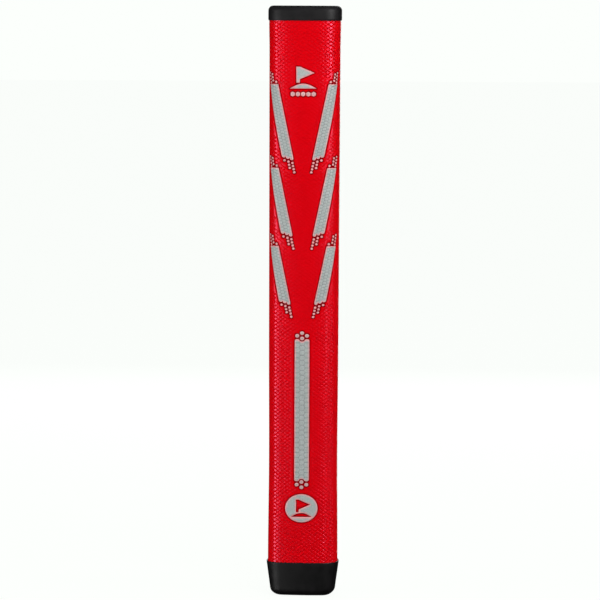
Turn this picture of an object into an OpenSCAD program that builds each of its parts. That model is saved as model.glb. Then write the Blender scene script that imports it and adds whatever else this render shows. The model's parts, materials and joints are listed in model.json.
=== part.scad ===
// Oversize putter grip: a foam core with a shaft bore, wrapped in a felt-backed polyurethane
// skin that is sewn along the rear, and closed by a rubber cap at each end.
// Origin: on the bore axis, at the mouth face. +Z runs to the butt, -Y is the flat front.

/* [Body] */
// Length from the mouth face to the top of the butt cap
grip_length = 267; // [240:1:330]
// Width of the body across its flanks
body_width = 31.4; // [30:0.1:36]
// Radius of the slightly crowned front
crown_radius = 70; // [60:1:90]
// Radius of the flanks
flank_radius = 28; // [25:0.5:32]

/* [Shaft bore] */
// Radius of the bore that the shaft is pushed into
bore_radius = 7.37; // [7:0.01:7.8]
// Distance from the mouth face to the end of the bore
bore_length = 252; // [225:1:252]

/* [Skin] */
// Thickness of the polyurethane skin
skin_thickness = 0.9; // [0.7:0.1:1.1]
// Thickness of the felt behind the skin
felt_thickness = 0.6; // [0.4:0.1:0.8]
// Depth of the sewn ribs behind the skin
rib_depth = 2.2; // [1.8:0.1:2.6]
// Distance between two stitches of the seam
stitch_pitch = 4; // [3:0.5:6]

/* [Caps] */
// Height of the mouth cap
mouth_cap_height = 15.6; // [14:0.1:18]
// Visible height of the butt cap
butt_cap_height = 6.7; // [5:0.1:9]
// How far the butt cap's rim stands proud of the skin
rim_proud = 0.85; // [0.3:0.05:1.2]
// Radius of the vent hole in the butt cap
vent_radius = 1.25; // [0.8:0.05:1.6]

/* [Markings] */
// Depth of the paint that fills the markings
paint_depth = 0.3; // [0.2:0.05:0.4]
// Width of each chevron band
band_width = 5; // [4.2:0.05:5.4]
// Width of the centre stripe
stripe_width = 6.6; // [6:0.1:8]
// Length of the centre stripe
stripe_length = 64.5; // [50:0.1:68]

/* [Hidden] */

overshoot = 1;

// The section is four tangent arcs on each side: crown, corner, flank and back.
// Angles are those of the surface normal, from +X.
FRONT = -90;
CROWN_END = -82;
CORNER_END = -8;
FLANK_END = 35;
REAR = 90;
half_width = body_width / 2;
corner_radius = (half_width - crown_radius * cos(CROWN_END) - flank_radius * (1 - cos(CORNER_END)))
              / (cos(CORNER_END) - cos(CROWN_END));
back_radius = (half_width - flank_radius * (1 - cos(FLANK_END))) / cos(FLANK_END);
flank_centre = (back_radius - flank_radius) * unit(FLANK_END);
corner_centre = flank_centre + (flank_radius - corner_radius) * unit(CORNER_END);
crown_centre = corner_centre + (corner_radius - crown_radius) * unit(CROWN_END);
crown_arc_length = arc_length(crown_radius, CROWN_END - FRONT);

// Width of the gap that the core and the felt leave for the sewn ribs
rear_channel_width = 3.6;

// Heights
butt_rim_z = grip_length - butt_cap_height;
skin_bottom_z = mouth_cap_height - 3;
seam_y = back_radius - skin_thickness - rib_depth / 2;

function unit(angle) = [cos(angle), sin(angle)];
function arc_length(radius, angle) = radius * angle * PI / 180;

function arc(centre, radius, from, to, steps) =
    [for (i = [0 : steps]) centre + radius * unit(from + (to - from) * i / steps)];

// One half of the section from the rear to the front, without the two points on the centre line
function right_half(inset) = concat(
    [for (i = [1 : 7]) (back_radius - inset) * unit(REAR + (FLANK_END - REAR) * i / 8)],
    arc(flank_centre, flank_radius - inset, FLANK_END, CORNER_END, 5),
    [for (i = [1 : 7])
        corner_centre + (corner_radius - inset) * unit(CORNER_END + (CROWN_END - CORNER_END) * i / 8)],
    [crown_centre + (crown_radius - inset) * unit(CROWN_END)]);

function outline(inset) =
    let (right = right_half(inset), last = len(right) - 1)
    concat([[0, back_radius - inset]],
           right,
           [crown_centre + (crown_radius - inset) * unit(FRONT)],
           [for (i = [last : -1 : 0]) [-right[i].x, right[i].y]]);

module prism(inset, from_z, to_z) {
    translate([0, 0, from_z])
        linear_extrude(to_z - from_z)
            polygon(outline(inset));
}

// Markings are drawn on the unrolled skin, as [distance along the surface from the front's
// centre line, height], and laid round the crown and the corners.
function wrapped_x(along) =
    along <= crown_arc_length
        ? crown_radius * sin(along / crown_radius * 180 / PI)
        : corner_centre.x + corner_radius
            * cos(CROWN_END + (along - crown_arc_length) / corner_radius * 180 / PI);
function wrap(points) = [for (p = points) [sign(p.x) * wrapped_x(abs(p.x)), p.y]];
function hexagon(centre, radius, turn = 0) = [for (a = [turn : 60 : turn + 300]) centre + radius * unit(a)];
function ellipse(centre, width, height, steps = 32) =
    [for (i = [0 : steps - 1])
        centre + [width / 2 * cos(360 * i / steps), height / 2 * sin(360 * i / steps)]];

// A marking's outline pushed from the flanks' centres out through the front
module through_front(points) {
    translate([0, flank_centre.y, 0])
        rotate([90, 0, 0])
            linear_extrude(back_radius)
                polygon(wrap(points));
}

// What is left of a marking's pushed outline outside the floor of its pocket
module above_pocket_floor() {
    difference() {
        children();
        prism(paint_depth, 0, grip_length);
    }
}

module paint() {
    color("silver")
        intersection() {
            prism(0, 0, grip_length);
            above_pocket_floor()
                children();
        }
}

// Chevrons: [height of the lower end, height of the band, distance of its inner edge from the
// centre line at the lower end]
UPPER = [197.9, 34, 4.18];
MIDDLE = [163.6, 30.7, 4.5];
LOWER = [132.8, 26.3, 5.3];
BAND_SLOPE = 0.212;
COLUMNS = 3;
column_width = band_width / COLUMNS;
dot_pitch = 1.4;
dot_radius = 0.56;
column_rise = 0.6;
// Dots past each end of a band, and how far the first one above it stands, from the inner column out
DOTS_BELOW = [4, 3, 1];
DOTS_ABOVE = [1, 3, 4];
FIRST_DOT_ABOVE = [0.9, 1.5, 0.7];

function band_point(chevron, side, column, height) =
    [side * (chevron[2] + column * column_width + BAND_SLOPE * height), chevron[0] + height];

module chevron_dot(chevron, side, column, height) {
    through_front(hexagon(band_point(chevron, side, column + 0.5, height), dot_radius));
}

// The band's lower end steps up from each column to the next one out
module chevron_outlines(chevron, side) {
    steps = 6;
    outer_low = COLUMNS * column_rise;
    through_front(concat(
        [for (i = [0 : steps]) band_point(chevron, side, 0, chevron[1] * i / steps)],
        [for (i = [steps : -1 : 0])
            band_point(chevron, side, COLUMNS, outer_low + (chevron[1] - outer_low) * i / steps)]));
    for (column = [0 : COLUMNS - 1]) {
        for (i = [1 : DOTS_BELOW[column]])
            chevron_dot(chevron, side, column, column * column_rise - i * dot_pitch);
        for (i = [0 : DOTS_ABOVE[column] - 1])
            chevron_dot(chevron, side, column, chevron[1] + FIRST_DOT_ABOVE[column] + i * dot_pitch);
    }
}

// Centre stripe: three columns of hexagonal cells, so its ends are notched
STRIPE_MIDDLE_Z = 84.9;
cell_pitch = stripe_width / 3;

module stripe_outline() {
    notch = cell_pitch * 0.35;
    // One end from left to right: [distance from the centre line, inset from the outermost point]
    end = [[-cell_pitch * 1.5, notch / 2], [-cell_pitch, 0], [-cell_pitch / 2, notch], [0, notch * 1.5],
           [cell_pitch / 2, notch], [cell_pitch, 0], [cell_pitch * 1.5, notch / 2]];
    last = len(end) - 1;
    through_front(concat(
        [for (corner = end) [corner.x, STRIPE_MIDDLE_Z - stripe_length / 2 + corner.y]],
        [for (i = [last : -1 : 0]) [end[i].x, STRIPE_MIDDLE_Z + stripe_length / 2 - end[i].y]]));
}

// Dots past each end of the stripe: [distance from the centre line, distance past the end]
END_DOTS = [[0, 0.3], [-cell_pitch, 1.5], [cell_pitch, 1.5], [0, 2.7]];

module end_dot_outlines() {
    end_dot_radius = 0.93;
    for (side = [-1, 1], dot = END_DOTS)
        through_front(hexagon([dot.x, STRIPE_MIDDLE_Z + side * (stripe_length / 2 + dot.y)],
                              end_dot_radius, 30));
}

// A pennant on a pole over a low mound
PENNANT = [[-3.1, -2.3], [-1.5, -2.3], [-1.5, -0.7], [5, 2.1], [-1.5, 4.9], [-3.1, 4.9]];
MOUND = [for (i = [0 : 16]) [-6 + 12 * i / 16, -4.9 + 2.2 * sin(180 * i / 16)]];

module flag_outlines(centre_z, scale) {
    function place(points) = [for (p = points) [0, centre_z] + scale * p];
    through_front(place(PENNANT));
    through_front(place(MOUND));
}

BADGE_Z = 234.8;
HEXAGON_ROW_Z = 227.4;
DISC_Z = 40.4;
DISC_SIZE = [14.7, 12.8];

module row_outlines() {
    for (i = [-2 : 2])
        through_front(hexagon([i * 2.35, HEXAGON_ROW_Z], 1.1, 30));
}

module flag_disc_outlines() {
    difference() {
        through_front(ellipse([0, DISC_Z], DISC_SIZE.x, DISC_SIZE.y));
        flag_outlines(DISC_Z, 0.8);
    }
}

// Sub-parts
module foam_core() {
    channel_depth = rib_depth + 0.3;
    color("dimgray")
        difference() {
            prism(skin_thickness + felt_thickness, skin_bottom_z, butt_rim_z);
            translate([0, 0, -overshoot])
                cylinder(h = bore_length + overshoot, r = bore_radius, $fn = 96);
            translate([0, 0, bore_length])
                plug_shape(butt_rim_z - bore_length + overshoot);
            translate([-rear_channel_width / 2, back_radius - skin_thickness - channel_depth, 0])
                cube([rear_channel_width, channel_depth + overshoot, grip_length]);
        }
}

module felt_backing() {
    color("lightgray")
        difference() {
            prism(skin_thickness, skin_bottom_z, butt_rim_z);
            prism(skin_thickness + felt_thickness, 0, grip_length);
            translate([-rear_channel_width / 2, 0, 0])
                cube([rear_channel_width, back_radius, grip_length]);
        }
}

rib_thickness = 0.8;
seam_gap = 0.3;

module outer_skin() {
    color("red")
        difference() {
            union() {
                difference() {
                    prism(0, skin_bottom_z, butt_rim_z);
                    prism(skin_thickness, 0, grip_length);
                }
                translate([-rib_thickness - seam_gap / 2, back_radius - skin_thickness - rib_depth, skin_bottom_z])
                    cube([2 * rib_thickness + seam_gap, rib_depth + skin_thickness / 2,
                          butt_rim_z - skin_bottom_z]);
            }
            translate([-seam_gap / 2, 0, 0])
                cube([seam_gap, back_radius + overshoot, grip_length]);
            above_pocket_floor()
                markings();
        }
}

// A lockstitch: one thread along each side of the two ribs, joined through them
module seam_thread() {
    thread_radius = 0.2;
    run_x = seam_gap / 2 + rib_thickness + thread_radius;
    first_z = skin_bottom_z + stitch_pitch;
    count = floor((butt_rim_z - first_z) / stitch_pitch);
    last_z = first_z + (count - 1) * stitch_pitch;
    color("firebrick")
        union() {
            for (side = [-1, 1])
                translate([side * run_x, seam_y, first_z - thread_radius])
                    cylinder(h = last_z - first_z + 2 * thread_radius, r = thread_radius, $fn = 16);
            for (i = [0 : count - 1])
                translate([-run_x, seam_y, first_z + i * stitch_pitch])
                    rotate([0, 90, 0])
                        cylinder(h = 2 * run_x, r = thread_radius, $fn = 16);
        }
}

module plug_shape(height) {
    plug_inset = 5;
    linear_extrude(height)
        polygon(outline(plug_inset));
}

module butt_cap() {
    edge_radius = 2.2;
    color([0.15, 0.15, 0.15])
        difference() {
            union() {
                prism(-rim_proud, butt_rim_z, grip_length - edge_radius);
                hull()
                    for (a = [0 : 22.5 : 90]) {
                        top_z = grip_length - edge_radius * (1 - sin(a));
                        prism(edge_radius * (1 - cos(a)) - rim_proud, top_z - 0.1, top_z);
                    }
                translate([0, 0, bore_length])
                    plug_shape(butt_rim_z - bore_length + overshoot);
            }
            translate([0, 0, bore_length - overshoot])
                cylinder(h = grip_length, r = vent_radius, $fn = 48);
        }
}

// The cap tapers towards the mouth face and has a rounded lower edge
module mouth_cap() {
    base_inset = 1.1;
    corner_width = 3;
    corner_height = 2.6;
    lip_proud = 0.7;
    color([0.08, 0.08, 0.08])
        difference() {
            hull() {
                prism(-lip_proud, mouth_cap_height - 0.6, mouth_cap_height);
                for (a = [0 : 18 : 90]) {
                    low_z = corner_height * (1 - cos(a));
                    prism(base_inset + corner_width * (1 - sin(a)), low_z, low_z + 0.1);
                }
            }
            prism(0, skin_bottom_z, grip_length);
            translate([0, 0, -overshoot])
                cylinder(h = grip_length, r = bore_radius, $fn = 96);
        }
}

module chevron_upper_left() { paint() chevron_outlines(UPPER, -1); }
module chevron_upper_right() { paint() chevron_outlines(UPPER, 1); }
module chevron_middle_left() { paint() chevron_outlines(MIDDLE, -1); }
module chevron_middle_right() { paint() chevron_outlines(MIDDLE, 1); }
module chevron_lower_left() { paint() chevron_outlines(LOWER, -1); }
module chevron_lower_right() { paint() chevron_outlines(LOWER, 1); }
module centre_stripe() { paint() stripe_outline(); }
module stripe_end_dots() { paint() end_dot_outlines(); }
module flag_badge() { paint() flag_outlines(BADGE_Z, 1); }
module badge_hexagons() { paint() row_outlines(); }
module flag_disc() { paint() flag_disc_outlines(); }

module markings() {
    for (chevron = [UPPER, MIDDLE, LOWER], side = [-1, 1])
        chevron_outlines(chevron, side);
    stripe_outline();
    end_dot_outlines();
    flag_outlines(BADGE_Z, 1);
    row_outlines();
    flag_disc_outlines();
}

foam_core();
felt_backing();
outer_skin();
seam_thread();
butt_cap();
mouth_cap();
chevron_upper_left();
chevron_upper_right();
chevron_middle_left();
chevron_middle_right();
chevron_lower_left();
chevron_lower_right();
centre_stripe();
stripe_end_dots();
flag_badge();
badge_hexagons();
flag_disc();
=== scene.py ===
"""Looks of an oversize putter grip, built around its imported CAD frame.

Shapes are worked out in millimetres on the unrolled skin, as distance along the surface from the
front's centre line (to the right is positive) and height, and are then laid round the section.
"""
import json
import math

import bpy
import numpy as np
from mathutils import Matrix, Vector
from mathutils.geometry import delaunay_2d_cdt

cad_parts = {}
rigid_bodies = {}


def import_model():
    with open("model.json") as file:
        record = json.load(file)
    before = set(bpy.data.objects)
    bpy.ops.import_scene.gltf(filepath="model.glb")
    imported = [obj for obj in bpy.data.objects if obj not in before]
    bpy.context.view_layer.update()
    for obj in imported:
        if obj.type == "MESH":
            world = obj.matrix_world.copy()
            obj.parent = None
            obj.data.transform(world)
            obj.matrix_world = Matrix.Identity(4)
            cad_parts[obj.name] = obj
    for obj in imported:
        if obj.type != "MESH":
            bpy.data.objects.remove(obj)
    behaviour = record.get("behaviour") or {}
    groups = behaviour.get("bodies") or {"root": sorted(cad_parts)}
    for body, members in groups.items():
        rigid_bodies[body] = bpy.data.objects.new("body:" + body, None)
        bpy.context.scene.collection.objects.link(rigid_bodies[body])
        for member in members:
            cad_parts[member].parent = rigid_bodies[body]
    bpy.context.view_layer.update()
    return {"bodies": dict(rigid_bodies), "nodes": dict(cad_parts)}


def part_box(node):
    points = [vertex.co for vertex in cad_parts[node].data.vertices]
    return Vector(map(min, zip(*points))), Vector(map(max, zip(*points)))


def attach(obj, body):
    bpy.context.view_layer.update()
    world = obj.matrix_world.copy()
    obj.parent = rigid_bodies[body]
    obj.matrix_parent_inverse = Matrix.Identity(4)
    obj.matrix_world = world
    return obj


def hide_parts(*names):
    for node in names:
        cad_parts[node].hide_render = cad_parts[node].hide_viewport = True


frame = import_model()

MM = 0.001
BODY = list(frame["bodies"])[0]


# ---------------------------------------------------------------------------------------------
# Sizes, in mm. Heights and widths come from the frame; what it doesn't hold is named here.

def box_mm(node):
    low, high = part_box(node)
    return np.array(low) / MM, np.array(high) / MM


SKIN_LOW, SKIN_HIGH = box_mm("outer_skin")
BUTT_LOW, BUTT_HIGH = box_mm("butt_cap")
MOUTH_HIGH = box_mm("mouth_cap")[1]
STRIPE_LOW, STRIPE_HIGH = box_mm("centre_stripe")
DISC_LOW, DISC_HIGH = box_mm("flag_disc")
BADGE_LOW, BADGE_HIGH = box_mm("flag_badge")
ROW_LOW, ROW_HIGH = box_mm("badge_hexagons")

SKIN_THICKNESS = 0.9
SKIN_BOTTOM = SKIN_LOW[2]
SKIN_TOP = SKIN_HIGH[2]
BORE_RADIUS = 7.37
VENT_RADIUS = 1.25

# The section's four arcs on each side: radius and the angle of the normal where each one ends
CROWN_RADIUS = 70.0
FLANK_RADIUS = 28.0
FRONT, CROWN_END, CORNER_END, FLANK_END, REAR = (math.radians(a) for a in (-90, -82, -8, 35, 90))

# Knurl of the skin: rhombi in half steps round half the section, and in half steps of height
KNURL_HALF_STEPS_ROUND = 42
KNURL_HALF_STEPS_HIGH = 288
KNURL_DEPTH = 0.13  # of the grooves between the rhombi
KNURL_DOME = 0.02  # rise of a rhombus's middle
KNURL_PLATEAU = 0.31  # where a rhombus's top ends, of the 0.5 from its middle to the groove's middle
KNURL_STRETCH = 0.22  # extra width of the rhombi on the front corners

# Markings: a chevron is the height of its lower end, its own height and the distance of its
# inner edge from the centre line at the lower end
CHEVRONS = {"upper": (197.9, 34, 4.18), "middle": (163.6, 30.7, 4.5), "lower": (132.8, 26.3, 5.3)}
BAND_WIDTH = 5.0
BAND_SLOPE = 0.212
COLUMNS = 3
COLUMN_WIDTH = BAND_WIDTH / COLUMNS
COLUMN_RISE = 0.6
DOT_PITCH = 1.4
DOT_SIZE = (0.55, 0.51)
DOTS_BELOW = (4, 3, 1)
DOTS_ABOVE = (1, 3, 4)
FIRST_DOT_ABOVE = (0.9, 1.5, 0.7)
END_DOT_SIZE = (0.91, 0.82)
MARKING_DEPTH = 0.35
MOAT_WIDTH = 0.6
MOAT_FLOOR = 0.28
MOAT_DEPTH = 0.13


# ---------------------------------------------------------------------------------------------
# The section and the unrolled skin

def unit(angle):
    return np.array([math.cos(angle), math.sin(angle)])


def section_arcs():
    """Centres, radii, starting angles and starting lengths of the four arcs of one side."""
    half = (SKIN_HIGH[0] - SKIN_LOW[0]) / 2
    corner = (half - CROWN_RADIUS * math.cos(CROWN_END) - FLANK_RADIUS * (1 - math.cos(CORNER_END)))
    corner /= math.cos(CORNER_END) - math.cos(CROWN_END)
    back = (half - FLANK_RADIUS * (1 - math.cos(FLANK_END))) / math.cos(FLANK_END)
    flank_centre = (back - FLANK_RADIUS) * unit(FLANK_END)
    corner_centre = flank_centre + (FLANK_RADIUS - corner) * unit(CORNER_END)
    crown_centre = corner_centre + (corner - CROWN_RADIUS) * unit(CROWN_END)
    radii = np.array([CROWN_RADIUS, corner, FLANK_RADIUS, back])
    angles = np.array([FRONT, CROWN_END, CORNER_END, FLANK_END, REAR])
    lengths = radii * np.diff(angles)
    starts = np.concatenate([[0], np.cumsum(lengths)])
    centres = np.array([crown_centre, corner_centre, flank_centre, [0, 0]])
    return centres, radii, angles[:-1], starts


ARC_CENTRES, ARC_RADII, ARC_ANGLES, ARC_STARTS = section_arcs()
HALF_ROUND = ARC_STARTS[-1]
CELL_HEIGHT = 2 * (SKIN_TOP - SKIN_BOTTOM) / KNURL_HALF_STEPS_HIGH


def smooth(t):
    t = np.clip(t, 0, 1)
    return t * t * (3 - 2 * t)


def flare(height):
    """How far the body's slight taper and its swelling towards the caps move its surface."""
    waist, shoulder = 62, 100
    taper = -0.22 + 0.2 * smooth((height - waist) / 50) + 0.0021 * np.clip(height - shoulder, 0, None)
    butt = 0.15 * smooth((height - SKIN_TOP + 13) / 11)
    mouth = 0.3 * smooth((waist - height) / 45)
    return taper + butt + mouth


def on_section(along, height, rise):
    """Points in metres at distances along the skin, heights, and rises above its plain surface."""
    along, height, rise = np.broadcast_arrays(
        np.asarray(along, float), np.asarray(height, float), np.asarray(rise, float))
    distance = np.abs(along)
    arc = np.clip(np.searchsorted(ARC_STARTS, distance, side="right") - 1, 0, 3)
    angle = ARC_ANGLES[arc] + (distance - ARC_STARTS[arc]) / ARC_RADII[arc]
    reach = ARC_RADII[arc] + rise
    x = ARC_CENTRES[arc, 0] + reach * np.cos(angle)
    y = ARC_CENTRES[arc, 1] + reach * np.sin(angle)
    return np.stack([np.where(along < 0, -x, x), y, height], axis=-1) * MM


def on_skin(along, height, rise):
    return on_section(along, height, rise + flare(np.asarray(height, float)))


# ---------------------------------------------------------------------------------------------
# Outlines of the markings, as closed loops on the unrolled skin

def ellipse(centre, size, steps=20):
    angles = np.arange(steps) * 2 * math.pi / steps
    return np.array(centre) + np.stack([size[0] * np.cos(angles), size[1] * np.sin(angles)], axis=1)


def hexagon(centre, radius):
    angles = np.radians(np.arange(6) * 60 + 30)
    return np.array(centre) + radius * np.stack([np.cos(angles), np.sin(angles)], axis=1)


def divided(loop, step):
    """The loop with its long sides divided into pieces no longer than step."""
    points = []
    for a, b in zip(loop, np.roll(loop, -1, axis=0)):
        pieces = max(1, math.ceil(np.linalg.norm(b - a) / step))
        points += [a + (b - a) * i / pieces for i in range(pieces)]
    return np.array(points)


def scallop(across):
    """How far a column's end stands out, from 0 at its sides to 1 in its middle."""
    return np.sqrt(np.clip(1 - (2 * (across % 1) - 1) ** 2, 0, 1))


def band_point(chevron, side, column, height):
    low, _, inner = chevron
    return np.array([side * (inner + column * COLUMN_WIDTH + BAND_SLOPE * height), low + height])


def band_outline(chevron, side):
    """A slanted band. Its columns end in round nubs that step up towards the outside."""
    nub = 0.6
    across = np.linspace(0, COLUMNS, 8 * COLUMNS + 1)
    foot = COLUMN_RISE * np.minimum(np.floor(across), COLUMNS - 1) + nub * (1 - scallop(across)) - nub / 4
    head = chevron[1] - 0.2 * (1 - scallop(across))
    low_edge = [band_point(chevron, side, c, h) for c, h in zip(across, foot)]
    high_edge = [band_point(chevron, side, c, h) for c, h in zip(across, head)]
    return divided(np.array(low_edge + high_edge[::-1]), 1.0)


def chevron_dots(chevron, side):
    centres = []
    for column in range(COLUMNS):
        below = [column * COLUMN_RISE - (i + 1) * DOT_PITCH for i in range(DOTS_BELOW[column])]
        above = [chevron[1] + FIRST_DOT_ABOVE[column] + i * DOT_PITCH for i in range(DOTS_ABOVE[column])]
        centres += [band_point(chevron, side, column + 0.5, height) for height in below + above]
    return [ellipse(c, DOT_SIZE, 16) for c in centres]


STRIPE_WIDTH = STRIPE_HIGH[0] - STRIPE_LOW[0]
STRIPE_PITCH = STRIPE_WIDTH / COLUMNS


def stripe_outline():
    """A straight stripe whose outer columns end in nubs, and whose middle one ends in a hollow."""
    across = np.linspace(0, COLUMNS, 10 * COLUMNS + 1)
    in_outer_column = np.abs(across - COLUMNS / 2) >= 0.5
    inset = np.where(in_outer_column, 0.7 * (1 - scallop(across)), 0.7 + 0.35 * scallop(across))
    x = STRIPE_LOW[0] + across * STRIPE_WIDTH / COLUMNS
    low_edge = np.stack([x, STRIPE_LOW[2] + inset], axis=1)
    high_edge = np.stack([x, STRIPE_HIGH[2] - inset], axis=1)
    return divided(np.concatenate([low_edge, high_edge[::-1]]), 1.0)


def stripe_dots():
    dots = []
    for end, out in ((STRIPE_LOW[2], -1), (STRIPE_HIGH[2], 1)):
        for x, z in ((0, 0.3), (-STRIPE_PITCH, 1.5), (STRIPE_PITCH, 1.5), (0, 2.7)):
            dots.append(ellipse((x, end + out * z), END_DOT_SIZE, 24))
    return dots


def flag_outlines(centre_height, scale):
    """A pennant on a pole, and a low mound under it."""
    flag = np.array([(-3.1, -2.3), (-1.5, -2.3), (-1.5, -0.7), (5, 2.1), (-1.5, 4.9), (-3.1, 4.9)])
    reach, base, rise = 6, -4.9, 2.2
    x = np.linspace(-reach, reach, 17)
    mound = np.stack([x, base + rise * np.sin(math.pi * (x + reach) / (2 * reach))], axis=1)
    return [divided(scale * loop + (0, centre_height), 1.0) for loop in (flag, mound)]


def middle_height(low, high):
    return (low[2] + high[2]) / 2


def badge_outlines():
    return flag_outlines(middle_height(BADGE_LOW, BADGE_HIGH), 1.0)


def row_outlines():
    count, pitch, radius = 5, 2.35, 1.1
    height = middle_height(ROW_LOW, ROW_HIGH)
    return [divided(hexagon((pitch * (i - count // 2), height), radius), 0.6) for i in range(count)]


def disc_outlines():
    height = middle_height(DISC_LOW, DISC_HIGH)
    size = ((DISC_HIGH[0] - DISC_LOW[0]) / 2, (DISC_HIGH[2] - DISC_LOW[2]) / 2)
    return [ellipse((0, height), size, 72)], flag_outlines(height, 0.8)


# ---------------------------------------------------------------------------------------------
# Distances and triangulation on the unrolled skin

def signed_distance(points, loop):
    """Distance of each point from a closed loop, negative inside."""
    a, b = loop, np.roll(loop, -1, axis=0)
    edge = b - a
    rel = points[:, None, :] - a[None, :, :]
    t = np.clip((rel * edge).sum(2) / (edge * edge).sum(1), 0, 1)
    nearest = np.linalg.norm(rel - t[..., None] * edge, axis=2).min(axis=1)
    straddles = (a[:, 1] > points[:, None, 1]) != (b[:, 1] > points[:, None, 1])
    dy = np.where(edge[:, 1] == 0, 1, edge[:, 1])
    crossing = a[:, 0] + (points[:, None, 1] - a[:, 1]) * edge[:, 0] / dy
    inside = (straddles & (points[:, None, 0] < crossing)).sum(1) % 2 == 1
    return np.where(inside, -nearest, nearest)


def shape_distance(points, outers, holes=(), reach=3.0):
    """Distance from a shape made of outer loops less holes, negative inside and at most reach."""
    distance = np.full(len(points), reach)
    for loops, is_hole in ((outers, False), (holes, True)):
        for loop in loops:
            low, high = loop.min(0) - reach, loop.max(0) + reach
            near = np.all((points > low) & (points < high), axis=1)
            if not near.any():
                continue
            d = signed_distance(points[near], loop)
            distance[near] = np.maximum(distance[near], -d) if is_hole else np.minimum(distance[near], d)
    return distance


def offset_loop(loop, distance):
    """The loop moved outwards by distance, or inwards if it is negative."""
    before, after = loop - np.roll(loop, 1, axis=0), np.roll(loop, -1, axis=0) - loop
    normals = []
    for edge in (before, after):
        length = np.linalg.norm(edge, axis=1, keepdims=True)
        normals.append(np.stack([edge[:, 1], -edge[:, 0]], axis=1) / length)
    bisector = normals[0] + normals[1]
    bisector /= np.maximum(np.linalg.norm(bisector, axis=1, keepdims=True), 1e-9)
    stretch = 1 / np.clip((bisector * normals[0]).sum(1, keepdims=True), 0.6, 1)
    area = (loop[:, 0] * np.roll(loop[:, 1], -1) - np.roll(loop[:, 0], -1) * loop[:, 1]).sum()
    return loop + bisector * stretch * distance * (1 if area > 0 else -1)


TOUCHING = 1e-6  # a point nearer than this to an outline lies on it


class Net:
    """Points and constraint edges on the unrolled skin, to be triangulated."""

    def __init__(self):
        self.points = []
        self.edges = []

    def add_points(self, points):
        first = len(self.points)
        self.points += [tuple(p) for p in points]
        return first

    def add_loop(self, loop, keep=None):
        """Adds a loop, without the points whose keep is false and the edges that touch them."""
        keep = np.ones(len(loop), bool) if keep is None else keep
        number = len(self.points) + np.cumsum(keep) - 1
        self.add_points(loop[keep])
        for i in range(len(loop)):
            j = (i + 1) % len(loop)
            if keep[i] and keep[j]:
                self.edges.append((int(number[i]), int(number[j])))

    def triangulate(self):
        """Points, counter-clockwise triangles, and the added point that each point came from or -1."""
        scale = 0.01  # keeps the numbers near one
        flat = [Vector((x * scale, y * scale)) for x, y in self.points]
        points, _, faces, origins, _, _ = delaunay_2d_cdt(flat, self.edges, [], 0, 1e-7)
        points = np.array([tuple(p) for p in points]) / scale
        return points, np.array([tuple(f) for f in faces]), [o[0] if o else -1 for o in origins]


# ---------------------------------------------------------------------------------------------
# Meshes and pieces

def mesh_object(name, points, faces, attributes=None, sharp_angle=60):
    """A smooth-shaded mesh with sharp edges where faces meet at more than sharp_angle degrees."""
    mesh = bpy.data.meshes.new(name)
    mesh.from_pydata([tuple(p) for p in points], [], [tuple(int(i) for i in f) for f in faces])
    for key, values in (attributes or {}).items():
        mesh.attributes.new(key, "FLOAT", "POINT").data.foreach_set("value", np.asarray(values, np.float32))
    mesh.polygons.foreach_set("use_smooth", [True] * len(mesh.polygons))
    mesh.set_sharp_from_angle(angle=math.radians(sharp_angle))
    obj = bpy.data.objects.new(name, mesh)
    bpy.context.scene.collection.objects.link(obj)
    return obj


def add_piece(obj, material, slot, *nodes):
    obj.data.materials.append(material)
    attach(obj, BODY)
    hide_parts(*nodes)
    return obj


def boundary_edges(triangles):
    """Directed edges that only one triangle uses."""
    edges = np.concatenate([triangles[:, [0, 1]], triangles[:, [1, 2]], triangles[:, [2, 0]]])
    used = {tuple(e) for e in edges.tolist()}
    return [e for e in used if (e[1], e[0]) not in used]


def coarse_points(flat, step=(3.0, 9.0), margin=0.4):
    """A wide grid inside the box of the points, enough for a plain surface."""
    low, high = flat.min(0) + margin, flat.max(0) - margin
    counts = [max(1, math.ceil(size / s)) for size, s in zip(high - low, step)]
    xs, ys = (np.linspace(l, h, n + 1) for l, h, n in zip(low, high, counts))
    return np.array([(x, y) for x in xs for y in ys])


def relief_solid(name, flat, triangles, rises, lower_rise, inside, attributes=None, sharp_angle=60):
    """A closed solid: the relief outside, a plain inner side at lower_rise, and walls between.

    inside tells which points of the unrolled skin are within the shape."""
    edges = boundary_edges(triangles)
    rim = sorted({i for e in edges for i in e})
    place_in_rim = {index: n for n, index in enumerate(rim)}
    net = Net()
    net.add_points(flat[rim])
    net.edges = [(place_in_rim[a], place_in_rim[b]) for a, b in edges]
    grid = coarse_points(flat)
    net.add_points(grid[inside(grid, 0.3)])
    lower_flat, lower_triangles, origins = net.triangulate()
    centroids = lower_flat[lower_triangles].mean(axis=1)
    lower_triangles = lower_triangles[inside(centroids, TOUCHING)]

    first = len(flat)
    lower_of = {origin: first + n for n, origin in enumerate(origins) if origin >= 0}
    lower_index = {index: lower_of[n] for index, n in place_in_rim.items()}
    walls = [(b, a, lower_index[a], lower_index[b]) for a, b in edges]
    faces = triangles.tolist() + walls + (lower_triangles[:, ::-1] + first).tolist()
    points = np.concatenate([on_skin(flat[:, 0], flat[:, 1], rises),
                             on_skin(lower_flat[:, 0], lower_flat[:, 1], lower_rise)])
    values = {key: np.concatenate([v, np.zeros(len(lower_flat))]) for key, v in (attributes or {}).items()}
    return mesh_object(name, points, faces, values, sharp_angle)


# ---------------------------------------------------------------------------------------------
# Silver markings

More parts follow.
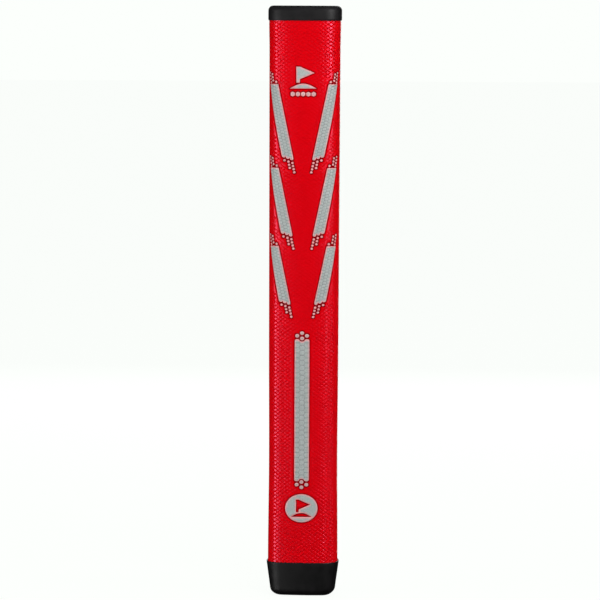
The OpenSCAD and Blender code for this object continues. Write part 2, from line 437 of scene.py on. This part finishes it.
class Cells:
    """Hexagonal cells in slanted columns, each column rise higher than the last."""

    def __init__(self, width, height, rise, slope, origin):
        self.width, self.height, self.rise, self.slope = width, height, rise, slope
        self.origin = np.array(origin)

    def loops(self, columns, rows):
        """The cells' outlines. A negative width mirrors them."""
        w, h, r = self.width, self.height, self.rise
        near = (w * w + r * r - r * h) / (2 * w)
        far = (w * w - r * r + r * h) / (2 * w)
        corners = np.array([(near, h / 2), (-near, h / 2), (-far, h / 2 - r),
                            (-near, -h / 2), (near, -h / 2), (far, r - h / 2)])
        loops = []
        for column in range(columns):
            for row in range(-2, rows):
                x, y = (corners + ((column + 0.5) * w, column * r + (row + 0.5) * h)).T
                loops.append(self.origin + np.stack([x + self.slope * y, y], axis=1))
        return loops

    def gap(self, points):
        """Distance of each point from the nearest border between cells."""
        y = points[:, 1] - self.origin[1]
        x = points[:, 0] - self.origin[0] - self.slope * y
        column = np.floor(x / self.width)
        centres = []
        for c in (column - 1, column, column + 1):
            row = np.floor((y - self.rise * c) / self.height)
            for r in (row - 1, row, row + 1):
                centres.append(((c + 0.5) * self.width, self.rise * c + (r + 0.5) * self.height))
        centres = np.array(centres)
        squares = ((centres - np.stack([x, y])) ** 2).sum(axis=1)
        own = centres[squares.argmin(axis=0), :, np.arange(len(points))].T
        apart = np.sqrt(((centres - own) ** 2).sum(axis=1))
        gaps = (squares - squares.min(axis=0)) / (2 * np.maximum(apart, 0.01))
        return np.where(apart > 0.01, gaps, np.inf).min(axis=0)


def grid_points(outers, spacing):
    """A staggered grid over the outlines' box."""
    everything = np.concatenate(outers)
    low, high = everything.min(0), everything.max(0)
    rows = np.arange(low[1] + spacing / 2, high[1], spacing)
    columns = np.arange(low[0] + spacing / 2, high[0], spacing)
    return np.array([(x + j % 2 * spacing / 2, y) for j, y in enumerate(rows) for x in columns])


def plate(name, outers, holes=(), cells=None, spacing=0.9, bevel=0.14):
    """A silver plate with a bevelled edge, and with the relief of its cells if it has any."""
    top, edge_drop, groove_depth, groove_half_width = 0.03, 0.08, 0.1, 0.15
    rim_width, rim_blend = 0.12, 0.3

    def inside(points, margin):
        return shape_distance(points, outers, holes) < -margin

    net = Net()
    for loops, sign in ((outers, -1), (holes, 1)):
        for loop in loops:
            net.add_loop(loop)
            inner = offset_loop(loop, sign * bevel)
            net.add_points(inner[inside(inner, 0.8 * bevel)])
    if cells:
        rows = math.ceil((outers[0][:, 1].max() - outers[0][:, 1].min()) / cells.height) + 2
        for loop in cells.loops(COLUMNS, rows):
            for line in (loop, offset_loop(loop, -groove_half_width)):
                line = divided(line, 0.4)
                net.add_loop(line, inside(line, 1.3 * bevel))
    grid = grid_points(outers, spacing)
    if len(grid):
        net.add_points(grid[inside(grid, bevel * 1.6)])
    flat, triangles, _ = net.triangulate()
    triangles = triangles[inside(flat[triangles].mean(axis=1), TOUCHING)]
    flat, triangles = without_unused(flat, triangles)
    depth = -shape_distance(flat, outers, holes)
    rises = top - edge_drop * (1 - smooth(depth / bevel))
    # The groove share also carries the painted shade that the ink puts in the grooves.
    groove = np.zeros(len(flat))
    if cells:
        groove = (1 - smooth(cells.gap(flat) / groove_half_width)) * smooth(depth / (2 * bevel))
    # The rim share marks the band along the edge that gets a painted highlight and a painted reflection of
    # the red skin.
    rim = 1 - smooth((depth - rim_width) / rim_blend)
    return relief_solid(name, flat, triangles, rises - groove_depth * groove, -MARKING_DEPTH, inside,
                        {"groove": groove, "rim": rim})


def without_unused(flat, triangles):
    used = np.unique(triangles)
    number = np.full(len(flat), -1)
    number[used] = np.arange(len(used))
    return flat[used], number[triangles]


def joined(name, objects):
    """One mesh object made of several."""
    with bpy.context.temp_override(active_object=objects[0], selected_editable_objects=objects):
        bpy.ops.object.join()
    objects[0].name = name
    return objects[0]


def plates(name, loops, **options):
    """One piece made of a separate plate for each loop."""
    parts = [plate(name + str(i), [loop], **options) for i, loop in enumerate(loops)]
    return joined(name, parts)


def make_chevron(level, side, hand, paint):
    node = f"chevron_{level}_{hand}"
    chevron = CHEVRONS[level]
    cells = Cells(side * COLUMN_WIDTH, DOT_PITCH, COLUMN_RISE, side * BAND_SLOPE,
                  band_point(chevron, side, 0, 0))
    band = plate(node + "_band", [band_outline(chevron, side)], cells=cells)
    dots = plates(node + "_dots", chevron_dots(chevron, side), spacing=0.5, bevel=0.2)
    for piece in (band, dots):
        add_piece(piece, paint, "silver_paint", node)


def make_stripe(paint):
    end_cell = 1.75
    rows = 27
    height = (STRIPE_HIGH[2] - STRIPE_LOW[2] - 2 * end_cell) / rows
    cells = Cells(STRIPE_PITCH, height, height / 2, 0, (STRIPE_LOW[0], STRIPE_LOW[2] + end_cell))
    stripe = plate("centre_stripe_plate", [stripe_outline()], cells=cells)
    dots = plates("centre_stripe_dots", stripe_dots(), spacing=0.6, bevel=0.25)
    add_piece(stripe, paint, "silver_paint", "centre_stripe")
    add_piece(dots, paint, "silver_paint", "stripe_end_dots")


def make_markings(paint):
    for level in CHEVRONS:
        for side, hand in ((-1, "left"), (1, "right")):
            make_chevron(level, side, hand, paint)
    make_stripe(paint)
    outers, holes = disc_outlines()
    for piece, node in ((plates("badge_flag", badge_outlines()), "flag_badge"),
                        (plates("badge_row", row_outlines(), bevel=0.2), "badge_hexagons"),
                        (plate("disc_plate", outers, holes), "flag_disc")):
        add_piece(piece, paint, "silver_paint", node)


def all_marking_shapes():
    outers = []
    for chevron in CHEVRONS.values():
        for side in (-1, 1):
            outers += [band_outline(chevron, side)] + chevron_dots(chevron, side)
    outers += [stripe_outline()] + stripe_dots() + badge_outlines() + row_outlines()
    disc, holes = disc_outlines()
    return outers + disc, holes


# ---------------------------------------------------------------------------------------------
# Skin

SEAM_HALF_GAP = 0.12
SEAM_BAND = 1.5
STITCH_PITCH = 4.0


def knurl_steps():
    """Distances along the skin, and the half rhombi up to each: they are wider on the corners."""
    corner_middle, reach = 14, 4
    along = np.linspace(0, HALF_ROUND, 501)
    width = 1 + KNURL_STRETCH * smooth(1 - np.abs(along - corner_middle) / reach)
    steps = np.concatenate([[0], np.cumsum(2 / (width[:-1] + width[1:]))])
    return along, steps * KNURL_HALF_STEPS_ROUND / steps[-1]


KNURL_ALONG, KNURL_STEPS = knurl_steps()


def knurl(points):
    """Height of the rhombi, measured from their tops' edges, and how deep in a groove it is.

    The relief is weaker on the flat of the front, most of all near the butt."""
    m = np.sign(points[:, 0]) * np.interp(np.abs(points[:, 0]), KNURL_ALONG, KNURL_STEPS)
    n = (points[:, 1] - SKIN_BOTTOM) / (CELL_HEIGHT / 2)
    a, b = (m + n) / 2, (m - n) / 2
    off_centre = np.maximum(np.abs(a - np.round(a)), np.abs(b - np.round(b)))
    slope = smooth((off_centre - KNURL_PLATEAU) / (0.5 - KNURL_PLATEAU))
    at_butt, at_mouth = 0.4, 0.8
    corner_start, corner_blend = 7, 4
    front = np.interp(points[:, 1], (SKIN_BOTTOM, SKIN_TOP), (at_mouth, at_butt))
    strength = front + (1 - front) * smooth((np.abs(points[:, 0]) - corner_start) / corner_blend)
    dome = KNURL_DOME * (1 - off_centre / KNURL_PLATEAU).clip(0, 1)
    return strength * (dome - KNURL_DEPTH * slope), slope


def skin_relief(points, silver):
    """Rise of the skin, and shares of moat and of groove, from each point's distance to the markings.

    Plain belts without knurl run along the markings, the seam and both ends."""
    belt_drop, roll_depth, pucker_depth = 0.05, 0.35, 0.16
    roll_width, pucker_width = 0.5, 0.9
    seam = HALF_ROUND - np.abs(points[:, 0])
    ends = np.minimum(points[:, 1] - SKIN_BOTTOM, SKIN_TOP - points[:, 1])
    rise, groove = knurl(points)
    for distance, belt, blend, dullness in ((silver, MOAT_WIDTH, 0.25, 0.7),
                                            (seam, SEAM_BAND, 0.4, 0),
                                            (ends, 0.5, 0.5, 0)):
        share = smooth((distance - belt) / blend)
        rise = rise * share - belt_drop * (1 - share)
        groove = groove * share + dullness * (1 - share)
    # The moat share also marks where the skin is painted dark red as painted shade.
    moat = 1 - smooth((silver - MOAT_FLOOR) / (MOAT_WIDTH - MOAT_FLOOR))
    rise = rise * (1 - moat) - MOAT_DEPTH * moat
    roll = 1 - smooth((seam - SEAM_HALF_GAP) / roll_width)
    stitch = np.cos(2 * math.pi * (points[:, 1] - SKIN_BOTTOM) / STITCH_PITCH) * 0.5 + 0.5
    pucker = stitch ** 3 * np.exp(-(seam / pucker_width) ** 2)
    return rise - roll_depth * roll ** 2 - pucker_depth * pucker, moat, groove


def knurl_net():
    """The knurl's points, and the number of each one where grooves cross, by half steps."""
    across, high = KNURL_HALF_STEPS_ROUND, KNURL_HALF_STEPS_HIGH
    limit = HALF_ROUND - SEAM_BAND
    plateau = 2 * KNURL_PLATEAU

    def at(m, n):
        along = math.copysign(np.interp(abs(m), KNURL_STEPS, KNURL_ALONG), m)
        return np.array([along, SKIN_BOTTOM + n * CELL_HEIGHT / 2])

    corner = {}
    tops = []
    for n in range(high + 1):
        for m in range(-across, across + 1):
            if (m + n) % 2:
                corner[m, n] = len(tops)
                tops.append(at(m, n))
            elif abs(at(m, n)[0]) < limit and 0 < n < high:
                tops.append(at(m, n))
                tops += [at(m + dm * plateau, n + dn * plateau)
                         for dm, dn in ((1, 0), (0, 1), (-1, 0), (0, -1))]
    return np.array(tops), corner


def seam_ribs():
    """The skin's two edges, turned in and standing side by side behind the seam."""
    thickness, depth, half_gap, overlap = 0.8, 2.2, 0.15, 0.1
    back = SKIN_HIGH[1] - SKIN_THICKNESS
    corners = np.array([(x, y, z) for x in (half_gap, half_gap + thickness)
                        for y in (back - depth, back + overlap) for z in (SKIN_BOTTOM, SKIN_TOP)])
    quads = [(0, 1, 3, 2), (4, 6, 7, 5), (0, 4, 5, 1), (2, 3, 7, 6), (0, 2, 6, 4), (1, 5, 7, 3)]
    plain = {key: np.zeros(len(corners)) for key in ("moat", "groove")}
    ribs = []
    for side in (-1, 1):
        faces = quads if side > 0 else [face[::-1] for face in quads]
        ribs.append(mesh_object("seam_rib", corners * (side, 1, 1) * MM, faces, plain))
    return ribs


def add_knurl(net, outers, holes):
    """Adds the knurl's points, and its grooves as edges, except near the markings and the seam."""
    moat_margin, seam_margin = 0.08, 0.6
    points, corner = knurl_net()
    keep = shape_distance(points, outers, holes) > MOAT_WIDTH + moat_margin
    keep &= np.abs(points[:, 0]) < HALF_ROUND - seam_margin
    number = np.full(len(points), -1)
    number[keep] = np.arange(keep.sum())
    net.add_points(points[keep])
    for (m, n), index in corner.items():
        for dm in (-1, 1):
            other = corner.get((m + dm, n + 1))
            if other is not None and number[index] >= 0 and number[other] >= 0:
                net.edges.append((number[index], number[other]))


def add_moats(net, outers, holes):
    """Adds a line close round each marking, and rings of points across its moat.

    A ring leaves out the points that lie nearer to another marking."""
    line_gap, floor_middle, spacing = 0.02, 0.14, 0.9
    least_share = 0.9
    for loops, sign in ((outers, 1), (holes, -1)):
        for loop in loops:
            net.add_loop(offset_loop(loop, sign * line_gap))
            for distance in (floor_middle, MOAT_FLOOR, MOAT_WIDTH):
                ring = divided(offset_loop(loop, sign * distance), spacing)
                far = shape_distance(ring, outers, holes) > least_share * distance
                net.add_points(ring[far])


def add_borders(net, edge):
    """Adds lines of points along the seam's two edges, and along the skin's two ends."""
    insets = (0, 0.12, 0.3, 0.55, 1.0)
    heights = np.linspace(SKIN_BOTTOM, SKIN_TOP, KNURL_HALF_STEPS_HIGH + 1)
    for side in (-1, 1):
        for inset in insets:
            net.add_points([(side * (edge - inset), z) for z in heights])
    alongs = np.linspace(-edge, edge, 2 * KNURL_HALF_STEPS_ROUND + 1)[1:-1]
    for z in (SKIN_BOTTOM, SKIN_TOP):
        net.add_points([(x, z) for x in alongs])


def make_skin(material):
    outers, holes = all_marking_shapes()
    edge = HALF_ROUND - SEAM_HALF_GAP
    net = Net()
    add_knurl(net, outers, holes)
    add_moats(net, outers, holes)
    add_borders(net, edge)
    flat, triangles, _ = net.triangulate()
    silver = shape_distance(flat, outers, holes)
    rises, moat, groove = skin_relief(flat, silver)

    def inside(p, margin):
        return np.abs(p[:, 0]) < edge - margin

    panel = relief_solid("skin_panel", flat, triangles, rises, -SKIN_THICKNESS, inside,
                         {"moat": moat, "groove": groove}, sharp_angle=18)
    return add_piece(joined("skin_panel", [panel] + seam_ribs()), material, "skin", "outer_skin")


# ---------------------------------------------------------------------------------------------
# Caps, as closed lofts through rings of equal point counts

RING_POINTS = 180


def section_ring(rise, height):
    """The section's outline at a height, moved outwards by rise."""
    alongs = np.linspace(-HALF_ROUND, HALF_ROUND, RING_POINTS, endpoint=False)
    return on_section(alongs, height, rise)


def circle_ring(radius, height):
    """A circle whose points lie in the directions of the section's points."""
    ring = section_ring(0, height)
    reach = np.linalg.norm(ring[:, :2], axis=1, keepdims=True)
    ring[:, :2] *= radius * MM / reach
    return ring


def kept_outside(ring, radius):
    """The ring with any point nearer to the axis than radius moved out to it."""
    reach = np.linalg.norm(ring[:, :2], axis=1, keepdims=True)
    ring[:, :2] *= np.maximum(1, radius * MM / reach)
    return ring


def closed_loft(name, rings):
    """Quads between each ring and the next and back to the first: outer side up, inner side down."""
    count = len(rings)
    faces = []
    for i in range(count):
        low, high = i * RING_POINTS, (i + 1) % count * RING_POINTS
        for j in range(RING_POINTS):
            k = (j + 1) % RING_POINTS
            faces.append((low + j, low + k, high + k, high + j))
    return mesh_object(name, np.concatenate(rings), faces, sharp_angle=38)


def quarter_round(steps):
    """Sine and cosine from 0 to 90 degrees."""
    angles = np.linspace(0, math.pi / 2, steps + 1)
    return list(zip(np.sin(angles), np.cos(angles)))


def make_mouth_cap(material):
    """A cup that tapers towards the mouth face, with a lip round the skin."""
    wall_top = MOUTH_HIGH[2] - 0.4
    taper_heights = (0.0, 4.8, 8.1, 11.0, wall_top)
    taper_rises = (-1.32, -0.76, -0.3, 0.1, 0.67)
    corner_width, corner_height = 4.2, 3.3
    clearance, entry_round = 0.15, 0.4
    rings = []
    for sine, cosine in quarter_round(12):
        height = corner_height * (1 - cosine)
        rise = np.interp(height, taper_heights, taper_rises) - corner_width * (1 - sine)
        rings.append(kept_outside(section_ring(rise, height), BORE_RADIUS + 1))
    for height in np.linspace(corner_height, wall_top, 12)[1:]:
        rings.append(section_ring(np.interp(height, taper_heights, taper_rises), height))
    lip = ((0.66, -0.16), (0.57, -0.03), (0.44, 0.0), (0.27, -0.03), (clearance, -0.18))
    rings += [section_ring(rise, MOUTH_HIGH[2] + drop) for rise, drop in lip]
    rings += [section_ring(clearance, SKIN_BOTTOM), section_ring(-3, SKIN_BOTTOM)]
    rings += [circle_ring(BORE_RADIUS, height) for height in (SKIN_BOTTOM, 9, 4, entry_round)]
    rings += [circle_ring(BORE_RADIUS + 0.12, 0.12), circle_ring(BORE_RADIUS + entry_round, 0)]
    add_piece(closed_loft("mouth_cap_rubber", rings), material, "cap_rubber", "mouth_cap")


def make_butt_cap(material):
    """A rounded lid on a plug, with a vent hole in a shallow ring groove."""
    rim, top, plug_end = SKIN_TOP, BUTT_HIGH[2], BUTT_LOW[2]
    edge, proud = 2.3, 0.88
    plug_rise, plug_chamfer = -5, 0.5
    rings = [section_ring(rise, rim + lift) for rise, lift in ((0.5, 0), (0.7, 0.03), (0.8, 0.16))]
    rings += [section_ring(proud, height) for height in (rim + 0.9, top - edge)]
    for sine, cosine in quarter_round(10)[1:]:
        rings.append(section_ring(proud - edge * (1 - cosine), top - edge * (1 - sine)))
    rings.append(section_ring(-3.4, top))
    groove = ((5.6, 0), (5.4, -0.1), (5.2, -0.4), (4.5, -0.4), (4.3, -0.1), (4.1, 0), (1.8, 0),
              (1.45, -0.06), (VENT_RADIUS, -0.3))
    rings += [circle_ring(radius, top + drop) for radius, drop in groove]
    rings += [circle_ring(VENT_RADIUS, height) for height in (top - 5, top - 10, plug_end)]
    rings += [section_ring(plug_rise - plug_chamfer, plug_end),
              section_ring(plug_rise, plug_end + plug_chamfer), section_ring(plug_rise, rim)]
    add_piece(closed_loft("butt_cap_rubber", rings), material, "cap_rubber", "butt_cap")


# ---------------------------------------------------------------------------------------------
# Materials

def linear(colour):
    """Linear RGBA of a colour given as sRGB from 0 to 255."""
    shares = [c / 255 for c in colour]
    return [c / 12.92 if c <= 0.04045 else ((c + 0.055) / 1.055) ** 2.4 for c in shares] + [1]


class Surface:
    """A material under construction: a Principled shader and the nodes that feed it."""

    def __init__(self, name, roughness, specular):
        self.material = bpy.data.materials.new(name)
        self.material.use_nodes = True
        self.tree = self.material.node_tree
        self.shader = self.tree.nodes["Principled BSDF"]
        self.shader.inputs["Roughness"].default_value = roughness
        self.shader.inputs["Specular IOR Level"].default_value = specular
        self.place = self.node("ShaderNodeTexCoord").outputs["Object"]

    def node(self, kind, **inputs):
        node = self.tree.nodes.new(kind)
        for name, value in inputs.items():
            self.feed(node.inputs[name.replace("_", " ")], value)
        return node

    def feed(self, socket, value):
        if isinstance(value, bpy.types.NodeSocket):
            self.tree.links.new(value, socket)
        else:
            socket.default_value = value

    def noise(self, size, detail=2.0, stretch=(1, 1, 1)):
        """Noise whose features are about size mm across."""
        scaled = self.node("ShaderNodeMapping", Vector=self.place, Scale=stretch).outputs["Vector"]
        node = self.node("ShaderNodeTexNoise", Vector=scaled, Scale=1 / (size * MM), Detail=detail)
        return node.outputs["Fac"]

    def specks(self, size):
        """Cells of random grey about size mm across."""
        node = self.node("ShaderNodeTexVoronoi", Vector=self.place, Scale=1 / (size * MM))
        return self.node("ShaderNodeSeparateColor", Color=node.outputs["Color"]).outputs[0]

    def attribute(self, name):
        node = self.node("ShaderNodeAttribute")
        node.attribute_name = name
        return node.outputs["Fac"]

    def ranged(self, value, low, high, from_low=0.3, from_high=0.7):
        """value spread over the range from low to high."""
        node = self.node("ShaderNodeMapRange", Value=value)
        for name, number in zip(("From Min", "From Max", "To Min", "To Max"),
                                (from_low, from_high, low, high)):
            node.inputs[name].default_value = number
        return node.outputs["Result"]

    def mixed(self, factor, first, second):
        """Colours mixed by factor. Each is an sRGB colour or another node's output."""
        node = self.tree.nodes.new("ShaderNodeMix")
        node.data_type = "RGBA"
        colours = [c if isinstance(c, bpy.types.NodeSocket) else linear(c) for c in (first, second)]
        factor_socket = next(s for s in node.inputs if s.name == "Factor" and s.type == "VALUE")
        first_socket, second_socket = [s for s in node.inputs if s.type == "RGBA"]
        for socket, value in zip((factor_socket, first_socket, second_socket), [factor] + colours):
            self.feed(socket, value)
        return next(s for s in node.outputs if s.type == "RGBA")

    def bump(self, height, depth, strength=1.0):
        """Roughens the surface by depth mm, on top of any earlier bump."""
        node = self.node("ShaderNodeBump", Height=height, Strength=strength, Distance=depth * MM)
        earlier = self.shader.inputs["Normal"].links
        if earlier:
            self.feed(node.inputs["Normal"], earlier[0].from_socket)
        self.feed(self.shader.inputs["Normal"], node.outputs["Normal"])

    def colour(self, value):
        self.feed(self.shader.inputs["Base Color"], value)

    def roughness(self, value):
        self.feed(self.shader.inputs["Roughness"], value)


def skin_leather():
    """Tacky red polyurethane with a fine pebbled grain, with painted shade in the knurl's grooves and in
    the moats of the markings.
    """
    surface = Surface("red_skin", 0.3, 0.5)
    patchy = surface.mixed(surface.ranged(surface.noise(22, 3), 0, 1), (229, 0, 11), (236, 0, 13))
    groove = surface.attribute("groove")
    # Painted shade: darker where the groove share is high, in the knurl's grooves and the plain belts along
    # the markings.
    groove_shaded = surface.mixed(surface.ranged(groove, 0, 1, 0.1, 1), patchy, (224, 0, 10))
    # Painted shade: the moats round the markings are painted dark red.
    surface.colour(surface.mixed(surface.attribute("moat"), groove_shaded, (130, 0, 8)))
    surface.feed(surface.shader.inputs["Specular IOR Level"], surface.ranged(groove, 1, 0, 0, 0.5))
    surface.shader.inputs["Specular Tint"].default_value = linear((255, 127, 167))
    surface.roughness(surface.ranged(surface.noise(0.35), 0.2, 0.28))
    surface.bump(surface.noise(0.16, 3), 0.015, 0.6)
    surface.bump(surface.noise(0.45), 0.012, 0.5)
    return surface.material


def silver_paint():
    """Flat silver ink with a fine metallic speckle, with painted shade in its grooves, and a painted
    highlight, tinted pink as a painted reflection of the red skin, along its edges.
    """
    surface = Surface("silver_ink", 0.5, 0.6)
    speckle = surface.ranged(surface.specks(0.22), 0, 1, 0, 1)
    speckled = surface.mixed(speckle, (160, 168, 165), (192, 199, 197))
    # Painted shade in the grooves between the cells.
    groove_shaded = surface.mixed(surface.attribute("groove"), speckled, (110, 119, 118))
    # Painted highlight and painted reflection of the red skin along the plates' edges.
    surface.colour(surface.mixed(surface.attribute("rim"), groove_shaded, (247, 160, 162)))
    surface.bump(surface.noise(0.12, 3), 0.01, 0.6)
    return surface.material


def cap_rubber(name, specular, dark, light):
    """Moulded rubber with a fine matt grain and faint rubbed patches."""
    surface = Surface(name, 0.5, specular)
    surface.colour(surface.mixed(surface.ranged(surface.noise(6, 4), 0, 1), dark, light))
    surface.roughness(surface.ranged(surface.noise(3, 4), 0.42, 0.56))
    surface.bump(surface.noise(0.25, 3), 0.015, 0.5)
    return surface.material


def closed_cell_foam():
    surface = Surface("core_foam", 0.85, 0.3)
    surface.colour(surface.mixed(surface.ranged(surface.noise(1.2, 4), 0, 1), (44, 44, 46), (70, 70, 72)))
    surface.bump(surface.specks(0.7), 0.15, 0.5)
    return surface.material


def felt():
    surface = Surface("backing_felt", 0.95, 0.1)
    fibres = surface.noise(0.3, 4, (1, 1, 0.35))
    surface.colour(surface.mixed(surface.ranged(fibres, 0, 1), (170, 168, 160), (205, 203, 196)))
    surface.shader.inputs["Sheen Weight"].default_value = 0.3
    surface.bump(fibres, 0.1, 0.7)
    return surface.material


def twisted_thread():
    surface = Surface("seam_thread_fibre", 0.6, 0.3)
    twist = surface.noise(0.15, 2, (1, 1, 0.4))
    surface.colour(surface.mixed(surface.ranged(twist, 0, 1), (120, 4, 10), (170, 10, 18)))
    surface.bump(twist, 0.04, 0.8)
    return surface.material


def make_inner_parts():
    for node, material, slot in (("foam_core", closed_cell_foam(), "foam"),
                                 ("felt_backing", felt(), "felt"),
                                 ("seam_thread", twisted_thread(), "thread")):
        obj = frame["nodes"][node]
        obj.data.materials.clear()
        obj.data.materials.append(material)


# ---------------------------------------------------------------------------------------------
# Studio

MIDDLE = Vector((0, -3, 133)) * MM
BACKDROP = (252, 255, 252)
FLOOR_GREY = 0.05
# The floor's glow, in shares of the backdrop, from near the grip outwards, in metres
GLOW = (0.96, 0.975)
GLOW_DISTANCE = (0.1, 1.2)


def area_light(name, azimuth, distance, height, size, radiance, seen_by):
    """A soft box aimed at the grip's axis. Azimuth is from the front towards the right, in degrees."""
    light = bpy.data.lights.new(name, "AREA")
    light.shape = "RECTANGLE"
    light.size, light.size_y = size
    light.energy = radiance * math.pi * size[0] * size[1]
    obj = bpy.data.objects.new(name, light)
    angle = math.radians(azimuth)
    obj.location = (math.sin(angle) * distance, -math.cos(angle) * distance, height)
    obj.rotation_euler = (MIDDLE - obj.location).to_track_quat("-Z", "Y").to_euler()
    obj.visible_diffuse = seen_by == "diffuse"
    obj.visible_glossy = seen_by == "glossy"
    obj.visible_camera = False
    bpy.context.scene.collection.objects.link(obj)


def make_lights():
    """Broad lights that shade the grip, and strips that only show as its highlights."""
    area_light("front_key", 15, 0.55, 0.65, (0.4, 0.4), 6.0, "diffuse")
    area_light("right_fill", 76, 0.9, 0.2, (0.5, 0.5), 5.0, "diffuse")
    area_light("left_fill", -56, 0.9, 0.1, (0.5, 0.5), 5.0, "diffuse")
    area_light("rear_fill", 180, 0.9, 0.5, (0.7, 0.7), 3.6, "diffuse")
    area_light("top_fill", 0, 0.001, 1.2, (0.8, 0.8), 1.5, "diffuse")
    area_light("right_strip", 56, 0.9, 0.42, (0.34, 0.4), 14.0, "glossy")
    area_light("right_shoulder", 34, 0.9, 0.3, (0.36, 0.6), 3.2, "glossy")
    area_light("left_strip", -60, 0.9, -0.02, (0.3, 0.9), 5.0, "glossy")
    area_light("left_shoulder", -35, 0.9, -0.02, (0.34, 0.9), 2.4, "glossy")
    area_light("high_glint", 40, 0.7, 0.8, (0.35, 0.35), 1.25, "glossy")
    area_light("rear_strip", 180, 1.0, 0.3, (0.3, 0.9), 3.5, "glossy")
    area_light("top_strip", 90, 0.2, 1.0, (0.5, 0.5), 0.4, "glossy")


def make_world():
    """White where the camera sees it, dim where it shades the grip, and dark in its gloss."""
    world = bpy.data.worlds.new("studio")
    world.use_nodes = True
    tree = world.node_tree
    tree.nodes.clear()
    path = tree.nodes.new("ShaderNodeLightPath")
    shader = None
    for ray, colour, strength in ((None, (255, 255, 255), 0.1), ("Is Glossy Ray", (255, 255, 255), 0.02),
                                  ("Is Camera Ray", BACKDROP, 1)):
        background = tree.nodes.new("ShaderNodeBackground")
        background.inputs["Color"].default_value = linear(colour)
        background.inputs["Strength"].default_value = strength
        output = background.outputs[0]
        if shader:
            mix = tree.nodes.new("ShaderNodeMixShader")
            tree.links.new(path.outputs[ray], mix.inputs[0])
            tree.links.new(shader, mix.inputs[1])
            tree.links.new(output, mix.inputs[2])
            output = mix.outputs[0]
        shader = output
    tree.links.new(shader, tree.nodes.new("ShaderNodeOutputWorld").inputs["Surface"])
    bpy.context.scene.world = world


def make_floor():
    """A pale floor that melts into the backdrop, with a soft shadow where the grip stands."""
    bpy.ops.mesh.primitive_circle_add(vertices=96, radius=12, fill_type="NGON")
    floor = bpy.context.object
    floor.name = "studio_floor"
    material = bpy.data.materials.new("pale_floor")
    material.use_nodes = True
    tree = material.node_tree
    tree.nodes.clear()
    out = tree.nodes.new("ShaderNodeOutputMaterial")
    add = tree.nodes.new("ShaderNodeAddShader")
    diffuse = tree.nodes.new("ShaderNodeBsdfDiffuse")
    diffuse.inputs["Color"].default_value = (FLOOR_GREY, FLOOR_GREY, FLOOR_GREY, 1)
    glow = tree.nodes.new("ShaderNodeEmission")
    glow.inputs["Color"].default_value = linear(BACKDROP)
    place = tree.nodes.new("ShaderNodeTexCoord").outputs["Object"]
    distance = tree.nodes.new("ShaderNodeVectorMath")
    distance.operation = "LENGTH"
    tree.links.new(place, distance.inputs[0])
    fade = tree.nodes.new("ShaderNodeMapRange")
    for name, number in zip(("From Min", "From Max", "To Min", "To Max"), GLOW_DISTANCE + GLOW):
        fade.inputs[name].default_value = number
    tree.links.new(distance.outputs["Value"], fade.inputs["Value"])
    tree.links.new(fade.outputs["Result"], glow.inputs["Strength"])
    tree.links.new(diffuse.outputs[0], add.inputs[0])
    tree.links.new(glow.outputs[0], add.inputs[1])
    tree.links.new(add.outputs[0], out.inputs["Surface"])
    floor.data.materials.append(material)
    floor.visible_diffuse = False
    floor.visible_glossy = False
    floor.visible_shadow = False


def make_camera():
    """A long lens a little to the right of the front, level with the butt."""
    yaw, roll = math.radians(4.2), math.radians(0.27)
    distance = 1.75
    aim = Vector((0, -0.005, 0.1335))
    place = Vector((math.sin(yaw) * distance, -math.cos(yaw) * distance + aim.y, 0.267))
    forward = (aim - place).normalized()
    level = forward.cross(Vector((0, 0, 1))).normalized()
    upright = level.cross(forward)
    right = math.cos(roll) * level + math.sin(roll) * upright
    up = right.cross(forward)
    camera = bpy.data.objects.new("camera", bpy.data.cameras.new("camera"))
    camera.matrix_world = Matrix.Translation(place) @ Matrix((right, up, -forward)).transposed().to_4x4()
    camera.data.sensor_width = 36
    camera.data.lens = 232.1
    camera.data.shift_x = -0.0075
    camera.data.shift_y = 0.0011
    bpy.context.scene.collection.objects.link(camera)
    bpy.context.scene.camera = camera


def make_stage():
    scene = bpy.context.scene
    scene.view_settings.view_transform = "Standard"
    make_world()
    make_floor()
    make_lights()
    make_camera()


# ---------------------------------------------------------------------------------------------

make_skin(skin_leather())
make_markings(silver_paint())
make_butt_cap(cap_rubber("butt_rubber", 0.2, (20, 19, 20), (26, 25, 26)))
make_mouth_cap(cap_rubber("mouth_rubber", 0.22, (9, 9, 9), (13, 12, 13)))
make_inner_parts()
make_stage()
